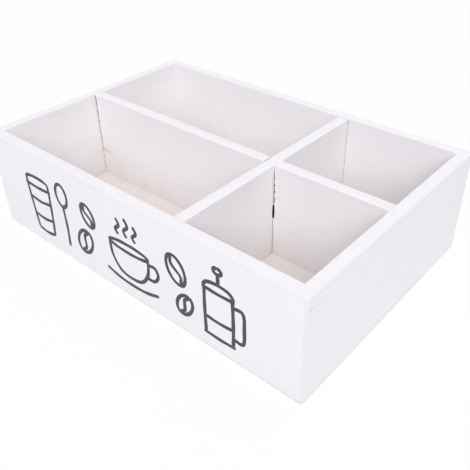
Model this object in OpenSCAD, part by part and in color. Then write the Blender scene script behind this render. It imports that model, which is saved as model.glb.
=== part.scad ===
// Open-topped wooden tray with mitred walls, a grooved-in floor and two crossing dividers.
// The underside stands on z = 0, centred on the origin. The long front wall faces -Y.

/* [Tray] */
// Length over the outside faces of the end walls
tray_length = 305; // [250:1:420]
// Depth over the outside faces of the front and back walls
tray_depth = 203; // [160:1:300]
// Height of the walls and of the dividers' top edges
tray_height = 83; // [60:1:120]

/* [Boards] */
// Thickness of the four wall boards
wall_t = 9; // [7:0.5:14]
// Thickness of the two divider boards
divider_t = 9; // [6:0.5:12]
// Radius sanded on the outside corners and the outside top edges
outer_round = 1.8; // [0.5:0.1:3]
// Radius sanded on the inside top edges and on the dividers
inner_round = 0.6; // [0.2:0.1:1.5]

/* [Bays] */
// Length of the two bays on the left, from the wall to the cross divider
left_bay_length = 188.5; // [120:0.5:200]
// Depth of the two bays at the front, from the wall to the long divider
front_bay_depth = 89; // [60:1:110]

/* [Floor] */
// Thickness of the floor panel
floor_t = 3.2; // [2.4:0.2:5]
// Height of the floor groove above the underside
groove_lift = 3; // [2:0.5:8]
// Depth of the floor groove in each wall
groove_depth = 4; // [2:0.5:5]
// Play left between the floor panel's edge and the bottom of its groove
floor_play = 0.5; // [0.1:0.1:1]
// Slack above the floor panel inside its groove
groove_slack = 0.2; // [0.1:0.1:0.5]

/* [Divider joint] */
// Play on each side of the cross divider, in the slot of the long divider
long_slot_play = 0.6; // [0.2:0.1:1.5]
// Play on each side of the long divider, in the slot of the cross divider
cross_slot_play = 0.3; // [0.1:0.1:1]
// How far the hole drilled at a slot's blind end reaches past each side of the slot
slot_hole_over = 1.4; // [0.5:0.1:3]
// Gap left between the long divider and the left wall
long_end_gap = 0.7; // [0.1:0.1:1]
// Gap left between the cross divider and the back wall
cross_end_gap = 0.4; // [0.1:0.1:1]

/* [Brads] */
// Diameter of a brad's shank
brad_d = 1.2; // [1:0.1:1.6]
// Diameter of a brad's head
brad_head_d = 2; // [1.8:0.1:2.6]
// Thickness of a brad's head
brad_head_t = 0.6; // [0.4:0.1:1]
// Length of a brad's point
brad_point_l = 1.5; // [1:0.1:2.5]
// Length of the brads that pin the mitred corners
corner_brad_l = 20; // [15:1:30]
// Length of the brads that pin the ends of the dividers
divider_brad_l = 25; // [20:1:35]
// Depth of a brad's head below the face of its wall
brad_set = 1; // [0.5:0.1:2]
// Play round a brad and its filler in their hole
brad_play = 0.05; // [0.02:0.01:0.1]
// Distance of the outer rows of brads from the top edge and from the underside
brad_inset = 18; // [12:1:25]

/* [Hidden] */
$fn = 48;
// How far a cut runs past the face that it opens
cut_past = 1;

// Places of the tray's faces and of the dividers' middle planes
right_x = tray_length / 2;
back_y = tray_depth / 2;
cross_x = -right_x + wall_t + left_bay_length + divider_t / 2;
long_y = -back_y + wall_t + front_bay_depth + divider_t / 2;
floor_top = groove_lift + floor_t;
divider_h = tray_height - floor_top;
lap_z = floor_top + divider_h / 2;

// Each brad as [x, y, z of its place on the outside face, heading in degrees about Z]
outer_rows = [brad_inset, tray_height - brad_inset];
middle_row = tray_height / 2;
corner_drives = [
    for (side = [-1, 1], z = outer_rows) [-right_x, side * (back_y - wall_t / 2), z, 0],
    for (side = [-1, 1], z = outer_rows) [right_x, side * (back_y - wall_t / 2), z, 180],
    for (side = [-1, 1]) [side * (right_x - wall_t / 2), -back_y, middle_row, 90],
    for (side = [-1, 1]) [side * (right_x - wall_t / 2), back_y, middle_row, 270],
];
divider_drives = [
    for (z = outer_rows) each [
        [-right_x, long_y, z, 0],
        [right_x, long_y, z, 180],
        [cross_x, -back_y, z, 90],
        [cross_x, back_y, z, 270],
    ],
];

module whitewash() { color("#f1eff2") children(); }
module bare_wood() { color("#e2d2c2") children(); }
module steel() { color("silver") children(); }

// Lays a flat outline, drawn with its height along Y, on the YZ plane and runs it along X
module run_along_x(length) { rotate([90, 0, 90]) linear_extrude(length) children(); }

// Turns what stands along Z so that it points along a brad's heading from its place
module driven(drive) {
    translate([drive[0], drive[1], drive[2]]) rotate([0, 90, drive[3]]) children();
}

// One quarter of a round edge, the part outside the circle, at the corner of the first quadrant
module edge_waste(radius) {
    difference() {
        square(radius + cut_past);
        circle(radius);
    }
}

// Section of a wall: outside face at x = 0, its top edges eased, the floor groove inside
module wall_section() {
    difference() {
        square([wall_t, tray_height]);
        translate([outer_round, tray_height - outer_round]) mirror([1, 0]) edge_waste(outer_round);
        translate([wall_t - inner_round, tray_height - inner_round]) edge_waste(inner_round);
        translate([wall_t - groove_depth, groove_lift])
            square([groove_depth + cut_past, floor_t + groove_slack]);
    }
}

// Half of a rounded outside corner, turned about the corner's own axis
module corner_half() {
    rotate_extrude(angle = 45) difference() {
        square([outer_round, tray_height]);
        translate([0, tray_height - outer_round]) edge_waste(outer_round);
    }
}

// A mitred wall along +X from its left corner, its outside face on y = 0
module wall_board(length) {
    intersection() {
        run_along_x(length) wall_section();
        linear_extrude(tray_height) polygon([
            [outer_round, 0], [length - outer_round, 0],
            [length - outer_round, outer_round], [length - wall_t, wall_t],
            [wall_t, wall_t], [outer_round, outer_round],
        ]);
    }
    translate([outer_round, outer_round]) rotate(225) corner_half();
    translate([length - outer_round, outer_round]) rotate(270) corner_half();
}

// Pilot hole of one brad, with the wider mouth that its head and the filler sit in
module brad_hole(length) {
    translate([0, 0, -cut_past])
        cylinder(d = brad_head_d + 2 * brad_play, h = cut_past + brad_set + brad_head_t);
    cylinder(d = brad_d + 2 * brad_play, h = brad_set + length + brad_play);
}

module brad_holes() {
    for (drive = corner_drives) driven(drive) brad_hole(corner_brad_l);
    for (drive = divider_drives) driven(drive) brad_hole(divider_brad_l);
}

module brad(length) {
    translate([0, 0, brad_set]) {
        cylinder(d = brad_head_d, h = brad_head_t);
        cylinder(d = brad_d, h = length - brad_point_l);
        translate([0, 0, length - brad_point_l]) cylinder(d1 = brad_d, d2 = brad_d / 4, h = brad_point_l);
    }
}

// A divider along +X from x = 0, centred on y = 0, standing on z = 0
module divider_board(length) {
    run_along_x(length) difference() {
        translate([-divider_t / 2, 0]) square([divider_t, divider_h]);
        translate([divider_t / 2 - inner_round, divider_h - inner_round]) edge_waste(inner_round);
        translate([inner_round - divider_t / 2, divider_h - inner_round])
            mirror([1, 0]) edge_waste(inner_round);
    }
}

// Halving slot through a board along X: from the lap upwards, with a drilled hole at its blind end
module halving_slot(play) {
    width = divider_t + 2 * play;
    through = divider_t + 2 * cut_past;
    translate([-width / 2, -through / 2, 0]) cube([width, through, divider_h]);
    rotate([90, 0, 0]) cylinder(d = width + 2 * slot_hole_over, h = through, center = true);
}

module front_panel() {
    whitewash() difference() {
        translate([-right_x, -back_y]) wall_board(tray_length);
        brad_holes();
    }
}

module back_panel() {
    whitewash() difference() {
        translate([right_x, back_y]) rotate(180) wall_board(tray_length);
        brad_holes();
    }
}

module left_end_panel() {
    whitewash() difference() {
        translate([-right_x, back_y]) rotate(-90) wall_board(tray_depth);
        brad_holes();
    }
}

module right_end_panel() {
    whitewash() difference() {
        translate([right_x, -back_y]) rotate(90) wall_board(tray_depth);
        brad_holes();
    }
}

module floor_panel() {
    inset = wall_t - groove_depth + floor_play;
    bare_wood() translate([inset - right_x, inset - back_y, groove_lift])
        cube([tray_length - 2 * inset, tray_depth - 2 * inset, floor_t]);
}

module long_divider() {
    left_end = -right_x + wall_t + long_end_gap;
    whitewash() difference() {
        translate([left_end, long_y, floor_top]) divider_board(right_x - wall_t - left_end);
        translate([cross_x, long_y, lap_z]) halving_slot(long_slot_play);
        brad_holes();
    }
}

module cross_divider() {
    front_end = -back_y + wall_t;
    whitewash() difference() {
        translate([cross_x, front_end, floor_top]) rotate(90)
            divider_board(back_y - wall_t - cross_end_gap - front_end);
        translate([cross_x, long_y, lap_z]) rotate([180, 0, 90]) halving_slot(cross_slot_play);
        brad_holes();
    }
}

module corner_brads() {
    steel() for (drive = corner_drives) driven(drive) brad(corner_brad_l);
}

module divider_brads() {
    steel() for (drive = divider_drives) driven(drive) brad(divider_brad_l);
}

module brad_filler() {
    whitewash() for (drive = concat(corner_drives, divider_drives))
        driven(drive) cylinder(d = brad_head_d, h = brad_set);
}

front_panel();
back_panel();
left_end_panel();
right_end_panel();
floor_panel();
long_divider();
cross_divider();
corner_brads();
divider_brads();
brad_filler();
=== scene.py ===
"""A whitewashed wooden tray with four bays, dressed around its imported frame.

The file is laid out as an add-on: property groups hold the sizes and colours, one operator makes
each group of pieces, and main runs them in order. Everything is in metres, in the frame's own axes:
the tray stands on z = 0, its long front wall faces -Y and its square bays are towards +X.
"""

import math
from typing import NamedTuple

import bmesh
import bpy
import numpy as np
from bpy.props import FloatProperty, FloatVectorProperty, PointerProperty
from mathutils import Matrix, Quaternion, Vector


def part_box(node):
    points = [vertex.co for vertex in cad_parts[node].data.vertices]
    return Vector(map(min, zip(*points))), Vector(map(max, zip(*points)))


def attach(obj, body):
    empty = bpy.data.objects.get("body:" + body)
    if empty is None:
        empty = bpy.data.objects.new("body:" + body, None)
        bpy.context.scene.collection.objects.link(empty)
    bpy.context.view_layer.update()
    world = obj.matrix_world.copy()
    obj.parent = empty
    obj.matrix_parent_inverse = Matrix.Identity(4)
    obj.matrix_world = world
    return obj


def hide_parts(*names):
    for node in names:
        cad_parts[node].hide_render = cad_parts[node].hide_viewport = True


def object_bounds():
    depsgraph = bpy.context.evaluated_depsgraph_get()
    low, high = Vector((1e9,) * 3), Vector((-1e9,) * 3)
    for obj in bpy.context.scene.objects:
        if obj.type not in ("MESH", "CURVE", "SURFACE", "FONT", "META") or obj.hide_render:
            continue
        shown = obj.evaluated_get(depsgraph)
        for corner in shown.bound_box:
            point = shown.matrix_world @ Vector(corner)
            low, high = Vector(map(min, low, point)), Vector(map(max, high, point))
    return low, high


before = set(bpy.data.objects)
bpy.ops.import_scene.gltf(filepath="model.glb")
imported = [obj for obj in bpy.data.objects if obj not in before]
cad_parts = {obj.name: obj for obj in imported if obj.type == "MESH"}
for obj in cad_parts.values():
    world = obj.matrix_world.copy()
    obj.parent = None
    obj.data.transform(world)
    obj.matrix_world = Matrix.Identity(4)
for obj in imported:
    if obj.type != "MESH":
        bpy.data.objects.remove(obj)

bl_info = {
    "name": "Whitewashed tray",
    "version": (1, 0, 0),
    "blender": (4, 5, 0),
    "location": "View3D > Sidebar > Tray",
    "description": "Builds a whitewashed wooden tray with mitred walls and crossing dividers",
    "category": "Add Mesh",
}

MM = 0.001
PICTURE = 470       # width and height of the picture in pixels
SENSOR = 36.0       # width of the camera's sensor in millimetres
CAD_LOW, CAD_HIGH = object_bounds()

# Places read from the frame: the outside box, the boards' thicknesses and the dividers' planes
OUT_X, OUT_Y, TOP = CAD_HIGH
FLOOR_LOW, FLOOR_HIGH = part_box("floor_panel")
LONG_LOW, LONG_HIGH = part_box("long_divider")
CROSS_LOW, CROSS_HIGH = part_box("cross_divider")
WALL_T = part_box("left_end_panel")[1].x - CAD_LOW.x
CROSS_X = (CROSS_LOW.x + CROSS_HIGH.x) / 2
LONG_Y = (LONG_LOW.y + LONG_HIGH.y) / 2
LAP_Z = (FLOOR_HIGH.z + TOP) / 2

# Height over the lap and half height, in millimetres, of each splintered dash at the crossing
SPLINTERS = ((10.2, 1.3), (16.8, 1.3), (22.2, 0.9))
# Length in millimetres and share of each wave in a sawn edge, and the sum of them that counts as 1
SAW_WAVES = ((9.1, 0.3), (5.3, 0.4), (2.9, 0.6), (1.9, 0.7), (1.4, 0.5))
SAW_SUM = 1.4
# Lengths of the waves that planing left
PLANED_WAVES = (190 * MM, 110 * MM, 67 * MM, 41 * MM)
# Share of the filled slot's wander in the open ones, and of a torn hollow's reach in its own wander
OPEN_WANDER = 0.4
TORN_WANDER = 0.3
# A gap at a divider's end: the heights between which it widens, its share below them, and the
# depth over which its flare at the top edge dies away
GAP_RISE = (20 * MM, 34 * MM)
GAP_BELOW = 0.55
GAP_FLARE = 18 * MM
# Distance from the corner, in depths, where a wall's inner points start to close up on the mitre
SPREAD = 1.5

# Numbers of steps round the corners and arrises, and of rows over the torn hollow
CORNER_RINGS = 12
ARRIS_STEPS = 9
INNER_STEPS = 5
FOOT_STEPS = 4
LAP_ROWS = 21
# The closest rows beside a joint, and the distance under which points are merged
FINEST_ROW = 0.3 * MM
WELD = 0.002 * MM
# Numbers of points round a drawn oval and between two knots, of rings on a stroke's round end,
# and of points on each ring
OVAL_POINTS = 73
SPAN_POINTS = 24
END_RINGS = 7
BRUSH_SIDES = 12


class TrayBoards(bpy.types.PropertyGroup):
    """Sizes of the boards' edges and joints."""

    arris: FloatProperty(name="Outside arris", unit="LENGTH", default=1.8 * MM,
                         description="Radius sanded on the outside corners and top edges")
    inner_arris: FloatProperty(name="Inside arris", unit="LENGTH", default=0.5 * MM,
                               description="Radius on the inside top edges and on the dividers")
    foot: FloatProperty(name="Foot arris", unit="LENGTH", default=0.4 * MM,
                        description="Radius on the outside lower edges")
    groove_play: FloatProperty(name="Groove play", unit="LENGTH", default=0.5 * MM,
                               description="Play at the edge of the floor panel in its groove")
    groove_slack: FloatProperty(name="Groove slack", unit="LENGTH", default=0.2 * MM,
                                description="Slack above the floor panel in its groove")
    seam_depth: FloatProperty(name="Seam depth", unit="LENGTH", default=0.35 * MM,
                              description="How far the paint sinks into the mitre on each corner")
    seam_width: FloatProperty(name="Seam width", unit="LENGTH", default=0.3 * MM,
                              description="Half width of the sunk seam on each corner")
    seam_top: FloatProperty(name="Seam top", unit="LENGTH", default=9 * MM,
                            description="Length below the top edge where the paint hides the seam")
    relief: FloatProperty(name="Relief", unit="LENGTH", default=0.06 * MM,
                          description="Depth of the long low waves that planing left in the faces")
    grid: FloatProperty(name="Grid", unit="LENGTH", default=2 * MM,
                        description="Spacing of the points on the faces")
    saw_grid: FloatProperty(name="Saw grid", unit="LENGTH", default=0.6 * MM,
                            description="Spacing of the points up the sawn ends and slots")
    long_slot_play: FloatProperty(name="Long slot play", unit="LENGTH", default=0.6 * MM,
                                  description="Play beside the cross divider in its slot")
    cross_slot_play: FloatProperty(name="Cross slot play", unit="LENGTH", default=0.5 * MM,
                                   description="Play beside the long divider in its slot")
    closing: FloatProperty(name="Closing", unit="LENGTH", default=7 * MM,
                           description="Length below the top edge over which paint closes the long slot")
    least_open: FloatProperty(name="Least open", default=0.3, min=0, max=1,
                              description="Share of the long slot's play that paint leaves at the top")
    tear_half: FloatProperty(name="Torn height", unit="LENGTH", default=5.9 * MM,
                             description="Half height of the torn hollow at a slot's blind end")
    tear_reach: FloatProperty(name="Torn reach", unit="LENGTH", default=0.6 * MM,
                              description="How far the torn hollow reaches past the slot's side")
    splinter: FloatProperty(name="Splinter", unit="LENGTH", default=0.6 * MM,
                            description="Depth of the splintered dashes over the crossing's hollow")
    ragged: FloatProperty(name="Ragged", default=0.7, min=0, max=1,
                          description="Share of a gap's width by which its sawn edge wanders")


class TrayFinish(bpy.types.PropertyGroup):
    """Colours and gloss of the paint, the wood and the fastenings."""

    paint: FloatVectorProperty(name="Paint", subtype="COLOR", size=3, default=(0.980, 0.973, 0.995),
                               description="Whitewash where it lies thick")
    wood: FloatVectorProperty(name="Washed wood", subtype="COLOR", size=3, default=(0.86, 0.76, 0.685),
                              description="Wood that shows through thin whitewash")
    # Unpainted wood in the joints, so dark that it is painted shade of the gaps
    gap_shaded_wood: FloatVectorProperty(name="Raw wood", subtype="COLOR", size=3, default=(0.050, 0.036, 0.030),
                             description="Unpainted wood inside the joints")
    # Grey tone of the grain lines, also used for the painted shade on the outside, the tops, the arrises and
    # low in the bays
    pore_and_shade: FloatVectorProperty(name="Pores", subtype="COLOR", size=3, default=(0.62, 0.59, 0.60),
                              description="Grain lines under the whitewash")
    # Grey tone of the worn marks, and of the painted shade lines along the lower edges and the dividers'
    # feet
    grime_and_shade: FloatVectorProperty(name="Grime", subtype="COLOR", size=3, default=(0.34, 0.31, 0.31),
                               description="Rubbed spots, scuffs and the soiled lower edges")
    floor_wood: FloatVectorProperty(name="Floor", subtype="COLOR", size=3, default=(0.92, 0.865, 0.83),
                                    description="Thinly washed floor panel")
    ink: FloatVectorProperty(name="Motif", subtype="COLOR", size=3, default=(0.055, 0.053, 0.060),
                             description="Charcoal paint of the motif on the front")
    dry_ink: FloatVectorProperty(name="Dry motif", subtype="COLOR", size=3, default=(0.17, 0.165, 0.18),
                                 description="Charcoal paint where the brush ran dry")
    steel: FloatVectorProperty(name="Steel", subtype="COLOR", size=3, default=(0.55, 0.55, 0.57),
                               description="Wire of the brads")
    roughness: FloatProperty(name="Roughness", default=0.6, min=0, max=1,
                             description="Roughness of the dry whitewash")
    thin_corner: FloatProperty(name="Thin corners", default=0.11, min=0, max=1,
                               description="Share of wood that shows in a bay's corners")
    corner_fade: FloatProperty(name="Corner fade", unit="LENGTH", default=9 * MM,
                               description="Distance over which the paint thickens from a corner")
    thin_foot: FloatProperty(name="Thin foot", default=0.42, min=0, max=1,
                             description="Share of wood that shows where a board meets the floor")
    foot_fade: FloatProperty(name="Foot fade", unit="LENGTH", default=26 * MM,
                             description="Height over which the paint thickens from the floor")
    # Painted shade: greys the outside faces and rims, so that the insides of the bays stand lighter
    shade_veil: FloatProperty(name="Outside veil", default=0.10, min=0, max=1,
                        description="Share of the pores' tone that dulls the outside faces")
    paint_relief: FloatProperty(name="Paint relief", unit="LENGTH", default=0.10 * MM,
                                description="Height of the brush marks over the open pores")
    wood_relief: FloatProperty(name="Wood relief", unit="LENGTH", default=0.12 * MM,
                               description="Height of the floor panel's grain")


class TrayMotif(bpy.types.PropertyGroup):
    """Sizes of the motif painted on the front wall."""

    brush: FloatProperty(name="Brush", unit="LENGTH", default=2.9 * MM,
                         description="Width of a brush stroke")
    film: FloatProperty(name="Film", unit="LENGTH", default=0.07 * MM,
                        description="How far the paint stands off the wall")
    start: FloatProperty(name="Start", unit="LENGTH", default=42 * MM,
                         description="Distance from the wall's left end to the motif")
    step: FloatProperty(name="Step", unit="LENGTH", default=0.7 * MM,
                        description="Spacing of the points along a stroke")
    swell: FloatProperty(name="Swell", default=0.07, min=0, max=1,
                         description="Share by which a stroke swells and shrinks on its way")
    swell_length: FloatProperty(name="Swell length", unit="LENGTH", default=17 * MM,
                                description="Length along the stroke from one swelling to the next")


class TrayStage(bpy.types.PropertyGroup):
    """The camera, the lamps and the floor that the tray stands on."""

    focal_px: FloatProperty(name="Focal length", default=610.65,
                            description="Focal length in pixels of a frame 470 pixels wide")
    centre_column: FloatProperty(name="Centre column", default=235.6,
                                 description="Column of the picture that the camera points at")
    centre_row: FloatProperty(name="Centre row", default=223.2,
                              description="Row of the picture that the camera points at")
    camera_at: FloatVectorProperty(name="Camera", size=3, subtype="XYZ", unit="LENGTH",
                                   default=(0.2789, -0.3001, 0.2927), description="Place of the camera")
    azimuth: FloatProperty(name="Azimuth", default=math.radians(41.426), subtype="ANGLE",
                           description="Heading of the camera round the tray")
    elevation: FloatProperty(name="Elevation", default=math.radians(34.8), subtype="ANGLE",
                             description="Angle of the view below the horizon")
    roll: FloatProperty(name="Roll", default=math.radians(-1.05), subtype="ANGLE",
                        description="Turn of the camera about its line of sight")
    dome: FloatProperty(name="Dome", default=0.325, description="Strength of the even light all round")
    key: FloatVectorProperty(name="Key lamp", size=3, default=(40, 40, 95.8),
                             description="Heading and height in degrees, and power in watts")
    side: FloatVectorProperty(name="Side lamp", size=3, default=(-60, 45, 17.3),
                              description="Heading and height in degrees, and power in watts")
    rear: FloatVectorProperty(name="Rear lamp", size=3, default=(180, 60, 51.7),
                              description="Heading and height in degrees, and power in watts")
    lamp_size: FloatProperty(name="Lamp size", default=2.6, unit="LENGTH", description="Width of a lamp")
    lamp_reach: FloatProperty(name="Lamp reach", default=4.0, unit="LENGTH",
                              description="Distance of the lamps from the tray")
    light_tone: FloatVectorProperty(name="Light", subtype="COLOR", size=3, default=(0.983, 0.975, 1.0),
                                    description="Colour of the lamps and of the even light")
    floor_reach: FloatProperty(name="Floor reach", default=4.0, unit="LENGTH",
                               description="Distance from the tray to each side of the studio floor")
    floor_tone: FloatVectorProperty(name="Floor", subtype="COLOR", size=3, default=(0.9, 0.9, 0.9),
                                    description="Colour of the studio floor")
    floor_lift: FloatProperty(name="Floor lift", default=0.94, min=0, max=1,
                              description="Share of plain white that the camera sees in the floor")


class Wire:
    """A node's output in a Python expression: each operator adds one Math node to the tree."""

    def __init__(self, finish, socket):
        self.finish, self.socket = finish, socket

    def _math(self, operation, *values):
        inputs = dict(zip(("Value", "Value_001", "Value_002"), values))
        return self.finish.node("ShaderNodeMath", {"operation": operation}, inputs)

    def __add__(self, other):
        return self._math("ADD", self, other)

    def __radd__(self, other):
        return self._math("ADD", other, self)

    def __sub__(self, other):
        return self._math("SUBTRACT", self, other)

    def __rsub__(self, other):
        return self._math("SUBTRACT", other, self)

    def __mul__(self, other):
        return self._math("MULTIPLY", self, other)

    def __rmul__(self, other):
        return self._math("MULTIPLY", other, self)

    def __truediv__(self, other):
        return self._math("DIVIDE", self, other)

    def __rtruediv__(self, other):
        return self._math("DIVIDE", other, self)

    def __abs__(self):
        return self._math("ABSOLUTE", self)

    def least(self, other):
        return self._math("MINIMUM", self, other)

    def most(self, other):
        return self._math("MAXIMUM", self, other)

    def exp(self):
        return self._math("EXPONENT", self)

    def step(self, low, high):
        """0 at low, 1 at high, and a smooth rise between; low may be the larger of the two."""
        inputs = {"Value": self, "From Min": low, "From Max": high, "To Min": 0.0, "To Max": 1.0}
        return self.finish.node("ShaderNodeMapRange", {"interpolation_type": "SMOOTHSTEP"}, inputs)

    def within(self, limit, soft=0.2 * MM):
        """1 where the value's size is under limit, falling to 0 over the last stretch before it."""
        return abs(self).step(limit, limit - soft)

    def fading(self, width):
        """1 at no distance, falling to a third one width away."""
        return (self.most(0.0) / (-width)).exp()


class Finish:
    """The node tree of a material or world, with one method that makes any node."""

    def __init__(self, owner):
        owner.use_nodes = True
        self.owner, self.tree = owner, owner.node_tree
        self.tree.nodes.clear()

    @staticmethod
    def find(sockets, key):
        """The socket whose identifier, or else whose name, is key."""
        matches = [s for s in sockets if s.identifier == key] or [s for s in sockets if s.name == key]
        return matches[0]

    def node(self, kind, settings=None, inputs=None, out=None):
        """Makes a node of that kind: settings first, then its inputs, and gives the wanted output."""
        made = self.tree.nodes.new(kind)
        for name, value in (settings or {}).items():
            setattr(made, name, value)
        for name, value in (inputs or {}).items():
            socket = self.find(made.inputs, name)
            if isinstance(value, Wire):
                self.tree.links.new(value.socket, socket)
            else:
                socket.default_value = value
        if not made.outputs:
            return None
        return Wire(self, self.find(made.outputs, out) if out else made.outputs[0])

    def place(self):
        """The point being shaded, in the row's own axes, as every piece keeps its object at the origin."""
        return self.node("ShaderNodeTexCoord", out="Object")

    def axes(self, vector):
        """The three parts of a vector."""
        made = self.tree.nodes.new("ShaderNodeSeparateXYZ")
        self.tree.links.new(vector.socket, made.inputs[0])
        return [Wire(self, socket) for socket in made.outputs]

    def mix(self, factor, first, second):
        """A colour between two others."""
        inputs = {"Factor_Float": factor, "A_Color": first, "B_Color": second}
        return self.node("ShaderNodeMix", {"data_type": "RGBA"}, inputs, out="Result_Color")

    def noise(self, vector, size, detail=2.0, roughness=0.5, distortion=0.0):
        """Cloudy noise from 0 to 1 whose clouds are about size metres across."""
        inputs = {"Vector": vector, "Scale": 1 / size, "Detail": detail, "Roughness": roughness,
                  "Distortion": distortion}
        return self.node("ShaderNodeTexNoise", {}, inputs, out="Fac")

    def grain(self, vector, axis, seed, stretch, size, **settings):
        """Noise that runs with the grain, its clouds drawn out stretch times along the board."""
        scale = [1 / stretch if letter == axis else 1.0 for letter in "XYZ"]
        shift = np.random.default_rng(seed).uniform(-1, 1, 3)
        inputs = {"Vector": vector, "Location": tuple(shift), "Scale": tuple(scale)}
        return self.noise(self.node("ShaderNodeMapping", {}, inputs), size, **settings)

    def surface(self, colour, roughness, height, depth, metallic=0.0):
        """Ends the material in one Principled shader, with a bump of that depth from height."""
        bump = self.node("ShaderNodeBump", {}, {"Height": height, "Distance": depth, "Strength": 1.0})
        inputs = {"Base Color": colour, "Roughness": roughness, "Metallic": metallic, "Normal": bump}
        shader = self.node("ShaderNodeBsdfPrincipled", {}, inputs)
        self.node("ShaderNodeOutputMaterial", {}, {"Surface": shader})
        return self.owner


def new_finish(name):
    """An empty material of that name, ready for nodes."""
    return Finish(bpy.data.materials.new(name))


def rgba(colour):
    """A colour with full opacity."""
    return (*colour, 1.0)


class RubOrShadeLine(NamedTuple):
    """A worn or cracked line on one face, or a line of painted shade along a board's foot: its ends as
    places along the board and heights.
    """

    start: tuple
    end: tuple
    face: float          # where the face lies on the axis across the board
    width: float
    strength: float
    fade_from: float     # share of the line's length where it starts to fade


def rub_or_shade_strength(run, across, height, rub_or_shade):
    """How strongly a worn line, crack or painted shade line shows, from 0 to its strength."""
    reach = np.subtract(rub_or_shade.end, rub_or_shade.start)
    length = float(np.hypot(*reach))
    step_run, step_up = (float(part) for part in reach / length)
    far, up = run - rub_or_shade.start[0], height - rub_or_shade.start[1]
    share = (far * step_run + up * step_up) / length
    off = (up * step_run - far * step_up) / rub_or_shade.width
    line = (off * off * -1.0).exp() * share.step(-0.04, 0.02) * share.step(1.0, rub_or_shade.fade_from)
    return line * (across - rub_or_shade.face).within(0.5 * MM) * rub_or_shade.strength


def shaded_arrises_and_seams(x, y, z, eased):
    """How strongly painted shade greys the outside arrises, which keeps the lamps' highlight off them, and
    the sunk corner seams.
    """
    from_end, from_side = OUT_X - abs(x), OUT_Y - abs(y)
    corner = (from_end + from_side).step(2.8 * MM, 1.2 * MM)
    below_top = z.step(TOP - 6 * MM, TOP - 12 * MM)
    seam = corner * (from_end - from_side).within(0.55 * MM, 0.4 * MM) * below_top
    outer = from_end.least(from_side).step(2.2 * MM, 1.5 * MM)
    return (eased * outer * 0.09).most(corner * 0.20) * z.step(0, 0.5 * MM) + seam * 0.20


def shaded_bare_joints(x, y, z):
    """1 inside the halving joint and behind the dividers' ends, which no paint has reached, where a
    near-black tone paints the shade of the gaps.
    """
    inner = WALL_T / 2 - 0.1 * MM
    from_cross, from_long = x - CROSS_X, y - LONG_Y
    joint = from_long.within(inner) * from_cross.within(8 * MM)
    joint = joint.most(from_cross.within(inner) * from_long.within(8 * MM))
    ends = from_long.within(inner) * (abs(x) - OUT_X + WALL_T).within(1.1 * MM)
    ends = ends.most(from_cross.within(inner) * (abs(y) - OUT_Y + WALL_T).within(1.1 * MM))
    return joint.most(ends) * z.step(TOP - 0.5 * MM, TOP - 1.2 * MM)


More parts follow.
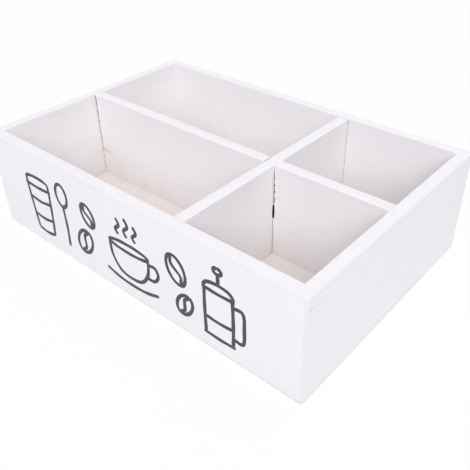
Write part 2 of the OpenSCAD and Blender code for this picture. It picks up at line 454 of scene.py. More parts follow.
def whitewash(name, axis, seed, colours, rubs_and_shade_lines=()):
    """Brushed white paint over a board whose grain runs along axis.

    In the bays the paint is thinner, and most of all in their corners and near the floor, where
    the wood's warm tone comes through. Pores and growth bands run with the grain, and brush marks
    over it. No paint has reached the faces inside the halving joint and behind the dividers' ends,
    which take a near-black tone as painted shade of those gaps. Painted shade also greys the bays
    towards the floor and in a thin line along it, the outside faces and the tops, the outside
    arrises and the corner seams, and the lower edges.
    """
    finish = new_finish(name)
    place = finish.place()
    x, y, z = finish.axes(place)
    run, across = (x, y) if axis == "X" else (y, x)
    half_run, crossing = (OUT_X, CROSS_X) if axis == "X" else (OUT_Y, LONG_Y)

    pores = finish.grain(place, axis, seed, 22, 0.5 * MM, detail=3).step(0.60, 0.74)
    streaks = finish.grain(place, axis, seed + 3, 20, 1.7 * MM, detail=4, roughness=0.6)
    bands = finish.grain(place, axis, seed + 7, 12, 8 * MM, detail=2, distortion=0.6)
    brush = finish.grain(place, axis, seed + 13, 40, 1.1 * MM, detail=2)
    mottle = finish.noise(place, 24 * MM, detail=3)
    eased = finish.node("ShaderNodeAttribute", {"attribute_name": "arris"}, out="Fac")

    # 1 on the faces inside the bays, and 1 on the boards' top edges
    inside = OUT_X - WALL_T + 0.5 * MM, OUT_Y - WALL_T + 0.5 * MM
    in_bay = x.within(inside[0], 0.4 * MM) * y.within(inside[1], 0.4 * MM) * z.step(TOP, TOP - 2 * MM)
    on_top = z.step(TOP - 1.0 * MM, TOP - 0.3 * MM)
    to_corner = (half_run - WALL_T - abs(run)).least(abs(run - crossing) - WALL_T / 2)
    to_floor = z - FLOOR_HIGH.z

    thin = to_corner.fading(colours.corner_fade) * colours.thin_corner
    thin = thin + to_floor.fading(colours.foot_fade) * colours.thin_foot
    thin = (thin + bands.step(0.5, 0.8) * 0.07 + mottle.step(0.5, 0.75) * 0.05) * (0.3 + 1.4 * mottle)
    worn = eased * (mottle * 0.6 + streaks * 0.5).step(0.52, 0.85) * 0.12
    paint = finish.mix(thin * in_bay + worn, rgba(colours.paint), rgba(colours.wood))

    # Grey tone over the grain: the pores and streaks, stronger in the bays and on the tops, and painted
    # shade in the same tone: a thin line where a board meets the floor, a greying towards the floor in the
    # bays, the outside faces and the tops a little greyer than the bays, and the outside arrises and corner
    # seams
    lines = (pores * 0.24 + streaks.step(0.50, 0.78) * 0.12) * (0.15 + 0.70 * in_bay + 0.45 * on_top)
    lines = lines.most(to_floor.fading(0.7 * MM) * in_bay * 0.30).most(shaded_arrises_and_seams(x, y, z, eased))
    lines = lines + to_floor.fading(24 * MM) * in_bay * 0.18 + (1 - in_bay) * colours.shade_veil + on_top * 0.05
    paint = finish.mix(lines, paint, rgba(colours.pore_and_shade))

    # Painted shade: the lowest 1.6 mm of each board greys a little, as a contact shadow at the studio floor.
    # The lines passed in add a worn line, a check and more painted shade lines along the feet
    grime_and_foot_shade = z.step(1.6 * MM, 0.5 * MM) * 0.07
    for rub_or_shade in rubs_and_shade_lines:
        grime_and_foot_shade = grime_and_foot_shade.most(rub_or_shade_strength(run, across, z, rub_or_shade) * (0.5 + streaks))
    paint = finish.mix(grime_and_foot_shade, paint, rgba(colours.grime_and_shade))
    # Unpainted wood in the joints and behind the dividers' ends, its near-black tone painted shade of the
    # gaps
    paint = finish.mix(shaded_bare_joints(x, y, z), paint, rgba(colours.gap_shaded_wood))

    height = brush * 0.5 + streaks * 0.35 - pores * 0.5 + mottle * 0.4
    roughness = colours.roughness + (mottle - 0.5) * 0.16 + pores * 0.08
    return finish.surface(paint, roughness, height, colours.paint_relief)


def washed_floor(colours):
    """Thin whitewash on the light wood of the floor panel, with open grain along X."""
    finish = new_finish("washed_floor")
    place = finish.place()
    streaks = finish.grain(place, "X", 61, 26, 1.8 * MM, detail=5, roughness=0.65)
    pores = finish.grain(place, "X", 63, 26, 0.6 * MM, detail=3).step(0.58, 0.72)
    bands = finish.grain(place, "X", 67, 9, 14 * MM, detail=2, distortion=1.2)
    wash = finish.noise(place, 30 * MM, detail=3)
    cover = (bands * 0.7 + wash * 0.5).step(0.35, 0.85) * 0.35
    tone = finish.mix(cover, rgba(colours.floor_wood), rgba(colours.paint))
    tone = finish.mix(pores * 0.20 + streaks.step(0.45, 0.8) * 0.32, tone, rgba(colours.wood))
    height = streaks * 0.5 - pores * 0.6
    return finish.surface(tone, colours.roughness + 0.02 + (wash - 0.5) * 0.12, height, colours.wood_relief)


def motif_ink(colours):
    """Matt charcoal paint, a little thinner where the brush ran dry."""
    finish = new_finish("motif_ink")
    place = finish.place()
    dry = finish.grain(place, "X", 71, 6, 1.4 * MM, detail=3)
    speck = finish.noise(place, 0.7 * MM, detail=2).step(0.66, 0.80)
    tone = finish.mix(dry.step(0.55, 0.85) * 0.25 + speck * 0.2, rgba(colours.ink), rgba(colours.dry_ink))
    return finish.surface(tone, 0.55 + (dry - 0.5) * 0.2, dry, 0.05 * MM)


def brad_wire(colours):
    """Drawn steel wire with fine scratches."""
    finish = new_finish("brad_wire")
    scratch = finish.noise(finish.place(), 0.25 * MM, detail=3)
    return finish.surface(rgba(colours.steel), 0.28 + scratch * 0.2, scratch, 0.02 * MM, metallic=1.0)


def line_of(start, end, spacing):
    """Points evenly spaced from start up to but not including end."""
    start, end = np.array(start, float), np.array(end, float)
    count = max(1, round(np.linalg.norm(end - start) / spacing))
    return start + (end - start) * (np.arange(count) / count)[:, None]


def graded_line(start, end, spacing, finest):
    """Points from start up to but not including end, their spacing shrinking towards end to finest."""
    start, end = np.array(start, float), np.array(end, float)
    length = np.linalg.norm(end - start)
    gaps = [finest]
    while sum(gaps) < length:
        gaps.append(min(spacing, gaps[-1] * 1.5))
    marks = 1 - np.cumsum(gaps)[::-1] / sum(gaps)
    return start + (end - start) * marks[:, None]


def arc_of(centre, radius, start, end, count):
    """Points on an arc from start to end degrees, without the last one."""
    turn = np.radians(np.linspace(start, end, count, endpoint=False))
    return np.array(centre) + radius * np.column_stack([np.cos(turn), np.sin(turn)])


def wall_section(boards):
    """Closed outline of a wall as depth behind its outside face and height.

    It runs up the outside, over the two eased top edges, down the inside, round the floor groove
    and along the foot. A second array is 1 on the eased edges and 0 on the faces.
    """
    arris, inner, foot, grid = boards.arris, boards.inner_arris, boards.foot, boards.grid
    groove_back = FLOOR_LOW.x - boards.groove_play - CAD_LOW.x
    groove_top = FLOOR_HIGH.z + boards.groove_slack
    parts = [
        (line_of((0, foot), (0, TOP - arris), grid), 0),
        (arc_of((arris, TOP - arris), arris, 180, 90, ARRIS_STEPS), 1),
        (line_of((arris, TOP), (WALL_T - inner, TOP), grid), 0),
        (arc_of((WALL_T - inner, TOP - inner), inner, 90, 0, INNER_STEPS), 1),
        (graded_line((WALL_T, TOP - inner), (WALL_T, groove_top), grid, FINEST_ROW), 0),
        (line_of((WALL_T, groove_top), (groove_back, groove_top), grid), 0),
        (line_of((groove_back, groove_top), (groove_back, FLOOR_LOW.z), grid), 0),
        (line_of((groove_back, FLOOR_LOW.z), (WALL_T, FLOOR_LOW.z), grid), 0),
        (line_of((WALL_T, FLOOR_LOW.z), (WALL_T, 0), grid), 0),
        (line_of((WALL_T, 0), (foot, 0), grid), 0),
        (arc_of((foot, foot), foot, 270, 180, FOOT_STEPS), 1),
    ]
    outline = np.vstack([points for points, _ in parts])
    eased = np.concatenate([np.full(len(points), float(flag)) for points, flag in parts])
    return outline, eased


def low_waves(run, height, seed):
    """Long shallow waves, from 0 to 1, as the sum of four sines with seeded directions and phases."""
    dice = np.random.default_rng(seed)
    total = np.zeros(np.broadcast(run, height).shape)
    for length in PLANED_WAVES:
        lean, phase = dice.uniform(0.4, 1.6), dice.uniform(0, 2 * math.pi)
        total = total + np.sin(2 * math.pi * (run + lean * height) / length + phase)
    return 0.5 + total / (2 * len(PLANED_WAVES))


def saw_marks(height, seed):
    """How a sawn edge wanders with height, about -1 to 1, as seeded sines of falling length."""
    dice = np.random.default_rng(seed)
    total = np.zeros_like(height)
    for length, share in SAW_WAVES:
        total = total + share * np.sin(2 * math.pi * (height / (length * MM) + dice.uniform()))
    return total / SAW_SUM


def wall_surface(length, outline, boards, seed):
    """Points of a mitred wall along +X, one ring of the outline after another.

    Between the corners each outline point runs straight. At a corner the points less than one
    arris deep turn by 45 degrees about the corner's own axis, and the deeper ones run out on the
    mitre plane. The rings crowd towards that plane, where the outside sinks in a fine seam that
    fades out below the top edge. Shallow waves press the outside and the inside in a little.
    """
    depth, height = outline.T
    arris = boards.arris
    rounded = depth < arris
    reach = np.where(rounded, arris, arris + SPREAD * (depth - arris))
    full_turn = math.pi / 4
    turn = full_turn * (1 - np.linspace(0, 1, CORNER_RINGS) ** 2)[:, None]
    seam = boards.seam_depth * np.exp(-(((full_turn - turn) * arris / boards.seam_width) ** 2))
    seam = seam * np.clip((TOP - boards.seam_top + arris - height) / (2 * arris), 0, 1)
    radius = np.maximum(arris - depth - seam, 0)
    across = np.where(rounded, arris - radius * np.sin(turn),
                      arris + (depth - arris) * (SPREAD - (SPREAD - 1) * turn / full_turn))
    behind = np.where(rounded, arris - radius * np.cos(turn), depth)
    steps = max(2, round(length / boards.grid))
    share = (np.arange(1, steps) / steps)[:, None]
    run = np.vstack([across, reach + share * (length - 2 * reach), (length - across)[::-1]])
    inward = np.vstack([behind, np.broadcast_to(depth, (steps - 1, len(depth))), behind[::-1]])
    up = np.broadcast_to(height, run.shape)
    dip = boards.relief * low_waves(run, up, seed)
    inward = inward + np.where(depth < WALL_T / 2, dip, -dip)
    return np.stack([run, inward, up], axis=-1)


def divider_section(half, boards):
    """Closed outline of a divider as distance from its middle plane and height.

    It goes up one face, over the eased top edges and down the other face, so that point i and
    point n - 1 - i lie level on opposite faces. The rows crowd at the floor and round the lap.
    """
    inner, tear = boards.inner_arris, boards.tear_half
    clear = 0.05 * MM
    ledge, top_ledge = LAP_Z - tear - clear, LAP_Z + tear + clear
    lap = LAP_Z + tear * np.sin(np.radians(np.linspace(-90, 90, LAP_ROWS)))
    rows = np.concatenate([
        [FLOOR_HIGH.z],
        graded_line((0, ledge), (0, FLOOR_HIGH.z), boards.grid, FINEST_ROW)[::-1, 1],
        [ledge], lap,
        line_of((0, top_ledge), (0, TOP - inner), boards.saw_grid)[:, 1],
    ])
    side = np.vstack([
        np.column_stack([np.full(len(rows), half), rows]),
        arc_of((half - inner, TOP - inner), inner, 0, 90, INNER_STEPS),
        [[half - inner, TOP]],
    ])
    eased = (side[:, 1] > TOP - inner - 1e-9).astype(float)
    return np.vstack([side, (side * (-1, 1))[::-1]]), np.concatenate([eased, eased[::-1]])


def slot_edge(height, half, play, from_top, filled, boards, seed):
    """How far one half of a divider is cut back from the crossing at each height.

    The slot's side stands off by the play, with a sawn wander, and a filled one closes under the
    paint towards the top, and has splintered dashes shaped as bell curves. The blind end is torn
    out in a rounded hollow, half + play plus a reach times one less the fourth power of the height
    over the hollow's own half height. The cut is nought where the board runs through.
    """
    past = (height - LAP_Z) if from_top else (LAP_Z - height)
    opened = np.clip((TOP - height) / boards.closing, boards.least_open, 1) if filled else 1.0
    ragged = boards.ragged * (1 if filled else OPEN_WANDER)
    straight = half + play * opened * (1 + ragged * saw_marks(height, seed))
    if filled:
        over = (height - LAP_Z) / MM
        dashes = sum(np.exp(-(((over - at) / wide) ** 2)) for at, wide in SPLINTERS)
        straight = straight + boards.splinter * dashes
    share = np.abs(past) / boards.tear_half
    torn = half + play + boards.tear_reach * (1 - share**4) * (1 + TORN_WANDER * saw_marks(height, seed + 1))
    cut = np.where(share <= 1, np.maximum(torn, np.where(past > 0, straight, 0)), straight)
    return np.where(past < -boards.tear_half, 0, cut)


def divider_surface(ends, wall, crossing, half, play, from_top, boards, seed):
    """Points and faces of a halved divider along +X, centred on y = 0.

    Each of its two halves is a grid of outlines that runs from the board's end to the slot's
    edge, both of which change with height. Where the board runs through, the halves meet on the
    crossing's plane. The gap of an end that stands off its wall widens upwards over GAP_RISE, and
    flares by one seam width at the top edge.
    """
    outline, eased = divider_section(half, boards)
    across, height = outline.T
    points, faces, base = [], [], 0
    count = len(outline)
    for end, sign in zip(ends, (-1, 1)):
        cut = slot_edge(height, half, play, from_top, sign > 0, boards, seed + sign)
        edge = crossing + sign * cut
        full = wall - abs(end)
        gap = full * np.interp(height, GAP_RISE, (GAP_BELOW, 1))
        if full > boards.seam_width / 2:
            gap = gap + boards.seam_width * np.exp((height - TOP) / GAP_FLARE)
        start = sign * (wall - gap * (1 + boards.ragged * saw_marks(height, seed + 2 * sign)))
        steps = max(2, round(abs(end - crossing) / boards.grid))
        share = (np.arange(steps + 1) / steps)[:, None]
        run = start + share * (edge - start)
        up = np.broadcast_to(height, run.shape)
        dip = boards.relief * low_waves(run, up, seed) * (np.abs(across) > half - boards.inner_arris)
        points.append(np.stack([run, across - np.sign(across) * dip, up], axis=-1).reshape(-1, 3))
        faces += grid_faces(steps + 1, count, base)
        faces += cap_faces(base, count, np.ones(count // 2, bool))
        faces += cap_faces(base + steps * count, count, cut[: count // 2] > 0)
        base += (steps + 1) * count
    return np.vstack(points), faces, np.tile(eased, base // count)


def grid_faces(rings, count, base=0):
    """Four-sided faces between neighbouring rings of count points, closed round each ring."""
    first = base + np.arange(rings - 1)[:, None] * count
    here = np.arange(count)[None, :]
    after = (here + 1) % count
    quads = np.stack([first + here, first + after, first + count + after, first + count + here], axis=-1)
    return quads.reshape(-1, 4).tolist()


def cap_faces(base, count, wanted):
    """Faces across a ring whose point i lies level with point n - 1 - i, where either row is wanted."""
    near = np.arange(count // 2 - 1)
    near = near[wanted[near] | wanted[near + 1]]
    far = count - 1 - near
    return (base + np.column_stack([near, near + 1, far - 1, far])).tolist()


def placed(points, corner, heading):
    """Points of a board along +X, turned by heading degrees about Z and moved to its corner."""
    turn = math.radians(heading)
    x, y, z = np.moveaxis(points, -1, 0)
    return np.stack([corner[0] + x * math.cos(turn) - y * math.sin(turn),
                     corner[1] + x * math.sin(turn) + y * math.cos(turn), z], axis=-1)


def ring_path(centre, radii, tilt=0.0, start=90.0, turn=368.0):
    """An ellipse in millimetres, drawn from start degrees for turn degrees and tilted about its centre."""
    angle = np.radians(start + np.linspace(0, turn, OVAL_POINTS))
    u, v = radii[0] * np.cos(angle), radii[1] * np.sin(angle)
    lean = math.radians(tilt)
    return np.column_stack([centre[0] + u * math.cos(lean) - v * math.sin(lean),
                            centre[1] + u * math.sin(lean) + v * math.cos(lean)])


def curve_path(*knots):
    """A smooth line in millimetres through the knots, by the Catmull-Rom formula."""
    knots = np.array(knots, float)
    knots = np.vstack([2 * knots[0] - knots[1], knots, 2 * knots[-1] - knots[-2]])
    before, here, after, beyond = (knots[i: len(knots) - 3 + i, None] for i in range(4))
    t = np.linspace(0, 1, SPAN_POINTS, endpoint=False)[None, :, None]
    spans = 0.5 * (2 * here + (after - before) * t + (2 * before - 5 * here + 4 * after - beyond) * t**2
                   + (3 * here - before - 3 * after + beyond) * t**3)
    return np.vstack([spans.reshape(-1, 2), knots[-2]])


def even_path(*knots):
    """A smooth line through knots that end on the middle line, and on through their mirror images."""
    return curve_path(*knots, *((-across, up) for across, up in reversed(knots[:-1])))


def both_sides(path):
    """A line and its mirror image."""
    return [path, path * (-1, 1)]


def lidded_cup():
    """The strokes of a tapered paper cup with a domed lid."""
    return [
        *both_sides(curve_path((-13.5, 53), (-12, 33), (-10, 13.5))),
        even_path((-10, 13.5), (0, 12)),
        even_path((-15.5, 54), (0, 53)),
        even_path((-13.5, 54.5), (-12, 60.5), (0, 62)),
        even_path((-12.3, 42), (0, 40.5)),
        even_path((-11, 26.5), (0, 25)),
    ]


def spoon():
    """The strokes of a spoon that stands on its handle."""
    return [ring_path((0.5, 58), (6.3, 9.6)), curve_path((0.3, 48), (0.9, 30), (-0.2, 12.5))]


def bean(centre, size, tilt):
    """A coffee bean: a tilted oval with a wavy crease down its middle."""
    oval = ring_path(centre, (0.66 * size, size), tilt)
    crease = curve_path((0, 0.92 * size), (-0.2 * size, 0.4 * size), (0.2 * size, -0.4 * size),
                        (0, -0.92 * size))
    lean = math.radians(tilt)
    turned = crease @ np.array([[math.cos(lean), math.sin(lean)], [-math.sin(lean), math.cos(lean)]])
    return [oval, turned + centre]


def steaming_cup():
    """The strokes of a wide cup on its saucer, with three curls of steam."""
    curl = curve_path((-8.5, 52.5), (-11, 56.5), (-7, 61), (-9.5, 66))
    return [
        ring_path((0, 44), (19.5, 3.4)),
        even_path((-19.5, 43), (-18, 31), (-11, 21), (0, 18.5)),
        curve_path((19, 40), (26, 40.5), (28.3, 34.5), (24, 28.5), (16, 28)),
        even_path((-27, 16.5), (-14, 12.9), (0, 12)),
        curl,
        curve_path((0, 53), (-2.5, 58), (2, 63), (-1, 69)),
        curl + (17, 0),
    ]


def press_pot():
    """The strokes of a press pot with its plunger, lid and handle."""
    return [
        *both_sides(curve_path((-11.5, 50), (-11.8, 32), (-11.5, 13.5))),
        even_path((-13.5, 12.8), (0, 12.2)),
        even_path((-13, 51), (-9, 55.5), (0, 57)),
        even_path((-13.5, 50.5), (0, 49.8)),
        curve_path((0, 57), (0.3, 61), (0, 65)),
        ring_path((0, 67.5), (3.2, 2.3)),
        curve_path((12, 46), (19.5, 45.5), (20.5, 33), (19.5, 20.5), (12, 20)),
        even_path((-11, 27), (0, 26.2)),
    ]


def motif_paths():
    """Every stroke of the motif in millimetres from the motif's left edge and the underside.

    Each drawing has its own middle, which stands at the number beside it.
    """
    drawings = [
        (15.5, lidded_cup()),
        (45, spoon()),
        (67, bean((0, 27), 11.5, -28) + bean((8, 53), 9.5, 24)),
        (117, steaming_cup()),
        (163, bean((0, 50), 11.5, 22) + bean((6, 24), 9.5, -30)),
        (199, press_pot()),
    ]
    return [path + (across, 0) for across, paths in drawings for path in paths]


def brushed_stroke(path, motif, seed):
    """Points of one stroke: a flattened tube along its path, with round ends.

    The path is walked evenly, more finely at its ends. Half the width follows a circle there, and
    along the way it swells and shrinks a little, as a hand-held brush does. Each ring is an
    ellipse of that half width in the wall's plane and the film's thickness across it.
    """
    path = path * MM
    gaps = np.hypot(*np.diff(path, axis=0).T)
    marks = np.concatenate([[0], np.cumsum(gaps)])
    total, half = marks[-1], motif.brush / 2
    round_end = half * (1 - np.cos(np.radians(np.linspace(0, 90, END_RINGS))))
    middle = np.linspace(half, total - half, max(3, round((total - 2 * half) / motif.step)))[1:-1]
    far = np.concatenate([round_end, middle, total - round_end[::-1]])
    spots = np.column_stack([np.interp(far, marks, path[:, i]) for i in range(2)])
    heading = np.column_stack([np.interp(far, marks, np.gradient(path[:, i], marks)) for i in range(2)])
    heading = heading / np.linalg.norm(heading, axis=1)[:, None]
    left = heading[:, ::-1] * (-1, 1)
    to_end = np.clip((half - np.minimum(far, total - far)) / half, 0, 1)
    phase = np.random.default_rng(seed).uniform()
    swell = 1 + motif.swell * np.sin(2 * math.pi * (far / motif.swell_length + phase))
    width = half * np.sqrt(1 - to_end**2) * swell
    turn = np.radians(np.linspace(0, 360, BRUSH_SIDES, endpoint=False))[None, :]
    flat = spots[:, None] + left[:, None] * (width[:, None] * np.cos(turn))[..., None]
    lift = motif.film * np.sin(turn) * (width / half)[:, None]
    return np.stack([flat[..., 0], -lift, flat[..., 1]], axis=-1)


def add_piece(name, points, faces, material, nodes=(), eased=None, smooth=35):
    """Makes one closed piece that rides on the root body and stands for the given nodes.

    Its points keep eased as the attribute arris, and edges over smooth degrees stay sharp.
    """
    mesh = bpy.data.meshes.new(name)
    mesh.from_pydata(np.asarray(points).reshape(-1, 3).tolist(), [], faces)
    if eased is not None:
        mesh.attributes.new("arris", "FLOAT", "POINT").data.foreach_set("value", eased.astype(np.float32))
    work = bmesh.new()
    work.from_mesh(mesh)
    bmesh.ops.remove_doubles(work, verts=work.verts, dist=WELD)
    bmesh.ops.recalc_face_normals(work, faces=work.faces)
    if not all(edge.is_manifold for edge in work.edges):
        raise RuntimeError(f"{name} isn't a closed surface")
    work.to_mesh(mesh)
    work.free()
    mesh.shade_smooth()
    mesh.set_sharp_from_angle(angle=math.radians(smooth))
    mesh.materials.append(material)
    piece = bpy.data.objects.new(name, mesh)
    bpy.context.scene.collection.objects.link(piece)
    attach(piece, "root")
    if nodes:
        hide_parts(*nodes)
    return piece


def paint_node(node, material):
    """Gives a node of the frame a better material."""
    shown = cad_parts[node]
    shown.data.materials.clear()
    shown.data.materials.append(material)


class TRAY_OT_walls(bpy.types.Operator):
    """Builds the four mitred wall boards."""

    bl_idname = "tray.walls"
    bl_label = "Walls"

    def execute(self, context):
        boards, colours = context.scene.tray_boards, context.scene.tray_finish
        outline, eased = wall_section(boards)
        length, depth = CAD_HIGH.x - CAD_LOW.x, CAD_HIGH.y - CAD_LOW.y
        # A worn line under the top edge at the front right corner, darkest at the corner itself, and
        # painted shade lines along the lower edges, a contact shadow darkest at the same corner
        near, worn = CAD_LOW.y, TOP - 9.6 * MM
        foot = (RubOrShadeLine((CAD_HIGH.x, 0.6 * MM), (CAD_LOW.x, 0.6 * MM), face=CAD_LOW.y,
                    width=1.2 * MM, strength=0.20, fade_from=0.0),)
        scuffs_and_foot_shade = (
            RubOrShadeLine((near + 2 * MM, worn), (near + 20.5 * MM, worn + 0.8 * MM), face=OUT_X,
                width=0.7 * MM, strength=0.16, fade_from=0.3),
            RubOrShadeLine((near + 1.5 * MM, worn + 0.2 * MM), (near + 4.5 * MM, worn), face=OUT_X,
                width=1.0 * MM, strength=0.22, fade_from=0.6),
            RubOrShadeLine((near, 0.7 * MM), (CAD_HIGH.y, 0.7 * MM), face=OUT_X,
                width=1.2 * MM, strength=0.17, fade_from=0.98),
        )
        walls = [
            ("front_wall", "front_panel", length, (CAD_LOW.x, CAD_LOW.y), 0, "X", 11, foot),
            ("right_wall", "right_end_panel", depth, (CAD_HIGH.x, CAD_LOW.y), 90, "Y", 23, scuffs_and_foot_shade),
            ("back_wall", "back_panel", length, (CAD_HIGH.x, CAD_HIGH.y), 180, "X", 37, ()),
            ("left_wall", "left_end_panel", depth, (CAD_LOW.x, CAD_HIGH.y), 270, "Y", 41, ()),
        ]
        for name, node, span, corner, heading, axis, seed, rubs_and_shade_lines in walls:
            points = placed(wall_surface(span, outline, boards, seed), corner, heading)
            rings, count = points.shape[:2]
            faces = grid_faces(rings, count)
            faces += [list(range(count)), list(range((rings - 1) * count, rings * count))]
            finish = whitewash(f"whitewash_{name}", axis, seed, colours, rubs_and_shade_lines)
            add_piece(name, points, faces, finish, [node], np.tile(eased, rings))
        return {"FINISHED"}


class TRAY_OT_dividers(bpy.types.Operator):
    """Builds the two dividers, halved into each other at the crossing."""

    bl_idname = "tray.dividers"
    bl_label = "Dividers"

    def execute(self, context):
        boards, colours = context.scene.tray_boards, context.scene.tray_finish
        half = (CROSS_HIGH.x - CROSS_LOW.x) / 2
        # A soft grey check from the long divider's left end, and the shadowed foot beside the crossing
        low = FLOOR_HIGH.z + 0.1 * MM
        check = RubOrShadeLine((LONG_LOW.x, low + 24.4 * MM), (LONG_LOW.x + 17 * MM, low + 22.4 * MM),
                    face=LONG_LOW.y, width=1.8 * MM, strength=0.32, fade_from=0.1)
        foot = RubOrShadeLine((LONG_LOW.y, low), (LONG_LOW.y - 15 * MM, low),
                   face=CROSS_HIGH.x, width=0.9 * MM, strength=0.5, fade_from=0.1)
        points, faces, eased = divider_surface((LONG_LOW.x, LONG_HIGH.x), OUT_X - WALL_T, CROSS_X, half,
                                               boards.long_slot_play, True, boards, 53)
        finish = whitewash("whitewash_long_board", "X", 53, colours, (check,))
        add_piece("long_board", placed(points, (0, LONG_Y), 0), faces, finish,
                  ["long_divider"], eased)
        points, faces, eased = divider_surface((CROSS_LOW.y, CROSS_HIGH.y), OUT_Y - WALL_T, LONG_Y, half,
                                               boards.cross_slot_play, False, boards, 59)
        finish = whitewash("whitewash_cross_board", "Y", 59, colours, (foot,))
        add_piece("cross_board", placed(points, (CROSS_X, 0), 90), faces, finish,
                  ["cross_divider"], eased)
        return {"FINISHED"}


class TRAY_OT_floor(bpy.types.Operator):
    """Finishes the floor panel in its groove."""

    bl_idname = "tray.floor"
    bl_label = "Floor panel"

    def execute(self, context):
        paint_node("floor_panel", washed_floor(context.scene.tray_finish))
        return {"FINISHED"}


class TRAY_OT_brads(bpy.types.Operator):
    """Finishes the brads and the painted filler over their heads."""

    bl_idname = "tray.brads"
    bl_label = "Brads"

    def execute(self, context):
        colours = context.scene.tray_finish
        wire = brad_wire(colours)
        paint_node("corner_brads", wire)
        paint_node("divider_brads", wire)
        paint_node("brad_filler", whitewash("whitewash_filler", "X", 11, colours))
        return {"FINISHED"}


class TRAY_OT_motif(bpy.types.Operator):
    """Paints the row of cups, beans and spoon on the front wall."""

    bl_idname = "tray.motif"
    bl_label = "Motif"

    def execute(self, context):
        motif, colours = context.scene.tray_motif, context.scene.tray_finish
        points, faces, base = [], [], 0
        for seed, path in enumerate(motif_paths()):
            stroke = brushed_stroke(path, motif, seed)
            rings, count = stroke.shape[:2]
            points.append(stroke.reshape(-1, 3))
            faces += grid_faces(rings, count, base)
            base += rings * count
        points = np.vstack(points) + (CAD_LOW.x + motif.start, CAD_LOW.y, 0)
        add_piece("front_motif", points, faces, motif_ink(colours), smooth=60)
        return {"FINISHED"}


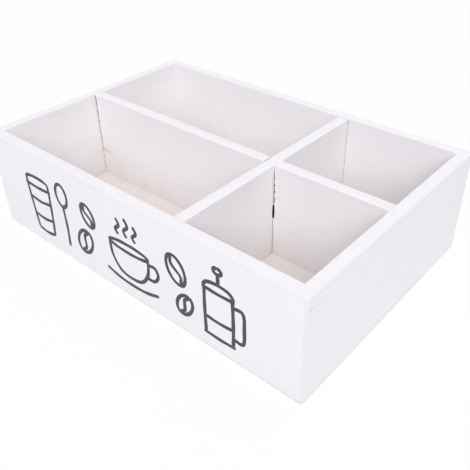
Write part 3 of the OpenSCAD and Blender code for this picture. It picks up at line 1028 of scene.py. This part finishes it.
class TRAY_OT_stage(bpy.types.Operator):
    """Sets the floor, the lamps, the even light all round and the camera."""

    bl_idname = "tray.stage"
    bl_label = "Stage"

    def execute(self, context):
        stage = context.scene.tray_stage
        context.scene.view_settings.view_transform = "Standard"
        self.floor(stage)
        self.world(context.scene, stage)
        for name in ("key", "side", "rear"):
            self.lamp(stage, name)
        self.camera(context.scene, stage)
        return {"FINISHED"}

    @staticmethod
    def seen(finish):
        """1 for what the camera, a mirror or glass sees, and 0 for light that falls on the tray."""
        rays = [finish.node("ShaderNodeLightPath", out=kind)
                for kind in ("Is Camera Ray", "Is Glossy Ray", "Is Transmission Ray")]
        return rays[0].most(rays[1]).most(rays[2])

    def floor(self, stage):
        """A matt square under the tray, most of which the camera sees as plain white."""
        finish = new_finish("studio_floor")
        matt = finish.node("ShaderNodeBsdfDiffuse", {}, {"Color": rgba(stage.floor_tone)})
        white = finish.node("ShaderNodeEmission", {}, {"Color": rgba((1, 1, 1)), "Strength": 1.0})
        both = finish.node("ShaderNodeMixShader", {}, {"Fac": self.seen(finish) * stage.floor_lift,
                                                      "Shader": matt, "Shader_001": white})
        finish.node("ShaderNodeOutputMaterial", {}, {"Surface": both})
        mesh = bpy.data.meshes.new("studio_floor")
        corners = [(x * stage.floor_reach, y * stage.floor_reach, 0)
                   for x, y in ((-1, -1), (1, -1), (1, 1), (-1, 1))]
        mesh.from_pydata(corners, [], [(0, 1, 2, 3)])
        mesh.materials.append(finish.owner)
        floor = bpy.data.objects.new("studio_floor", mesh)
        bpy.context.scene.collection.objects.link(floor)

    def world(self, scene, stage):
        """Even light all round, which the camera sees as plain white."""
        scene.world = bpy.data.worlds.new("studio")
        finish = Finish(scene.world)
        seen = self.seen(finish)
        light = finish.node("ShaderNodeBackground", {}, {
            "Color": finish.mix(seen, rgba(stage.light_tone), rgba((1.0, 1.0, 1.0))),
            "Strength": seen + (1 - seen) * stage.dome})
        finish.node("ShaderNodeOutputWorld", {}, {"Surface": light})

    @staticmethod
    def back_from(azimuth, elevation):
        """Unit vector from the tray back along a line of sight of that heading and angle."""
        flat = math.cos(elevation)
        return Vector((math.sin(azimuth) * flat, -math.cos(azimuth) * flat, math.sin(elevation)))

    def lamp(self, stage, name):
        """One large soft lamp that faces the tray."""
        heading, height, power = getattr(stage, name)
        data = bpy.data.lights.new(f"{name}_lamp", "AREA")
        data.size, data.energy, data.color = stage.lamp_size, power, stage.light_tone
        lamp = bpy.data.objects.new(f"{name}_lamp", data)
        back = self.back_from(math.radians(heading), math.radians(height))
        lamp.location = back * stage.lamp_reach
        lamp.rotation_mode = "QUATERNION"
        lamp.rotation_quaternion = (-back).to_track_quat("-Z", "Y")
        bpy.context.scene.collection.objects.link(lamp)

    def camera(self, scene, stage):
        """A camera at the measured place, shifted so that its middle falls on the centre pixel."""
        data = bpy.data.cameras.new("camera")
        data.sensor_width = SENSOR
        data.lens = stage.focal_px / PICTURE * SENSOR
        data.shift_x = (PICTURE / 2 - stage.centre_column) / PICTURE
        data.shift_y = (stage.centre_row - PICTURE / 2) / PICTURE
        camera = bpy.data.objects.new("camera", data)
        camera.location = stage.camera_at
        aim = (-self.back_from(stage.azimuth, stage.elevation)).to_track_quat("-Z", "Y")
        camera.rotation_mode = "QUATERNION"
        camera.rotation_quaternion = aim @ Quaternion((0, 0, 1), stage.roll)
        scene.collection.objects.link(camera)
        scene.camera = camera


class TRAY_PT_panel(bpy.types.Panel):
    """Lists the tray's operators and settings in the sidebar."""

    bl_idname = "TRAY_PT_panel"
    bl_label = "Whitewashed tray"
    bl_space_type = "VIEW_3D"
    bl_region_type = "UI"
    bl_category = "Tray"

    def draw(self, context):
        for operator in OPERATORS:
            self.layout.operator(operator.bl_idname)
        for name in GROUPS:
            group = getattr(context.scene, name)
            box = self.layout.box()
            for setting in group.__annotations__:
                box.prop(group, setting)


OPERATORS = (TRAY_OT_stage, TRAY_OT_walls, TRAY_OT_dividers, TRAY_OT_floor, TRAY_OT_brads, TRAY_OT_motif)
GROUPS = {"tray_boards": TrayBoards, "tray_finish": TrayFinish, "tray_motif": TrayMotif,
          "tray_stage": TrayStage}


def register():
    """Registers the classes and hangs each group of settings on the scene."""
    for cls in (*GROUPS.values(), *OPERATORS, TRAY_PT_panel):
        bpy.utils.register_class(cls)
    for name, group in GROUPS.items():
        setattr(bpy.types.Scene, name, PointerProperty(type=group))


def unregister():
    """Undoes what register does, in the reverse order."""
    for name in GROUPS:
        delattr(bpy.types.Scene, name)
    for cls in (TRAY_PT_panel, *reversed(OPERATORS), *reversed(GROUPS.values())):
        bpy.utils.unregister_class(cls)


def main():
    register()
    for operator in OPERATORS:
        group, name = operator.bl_idname.split(".")
        getattr(getattr(bpy.ops, group), name)()


if __name__ == "__main__":
    main()
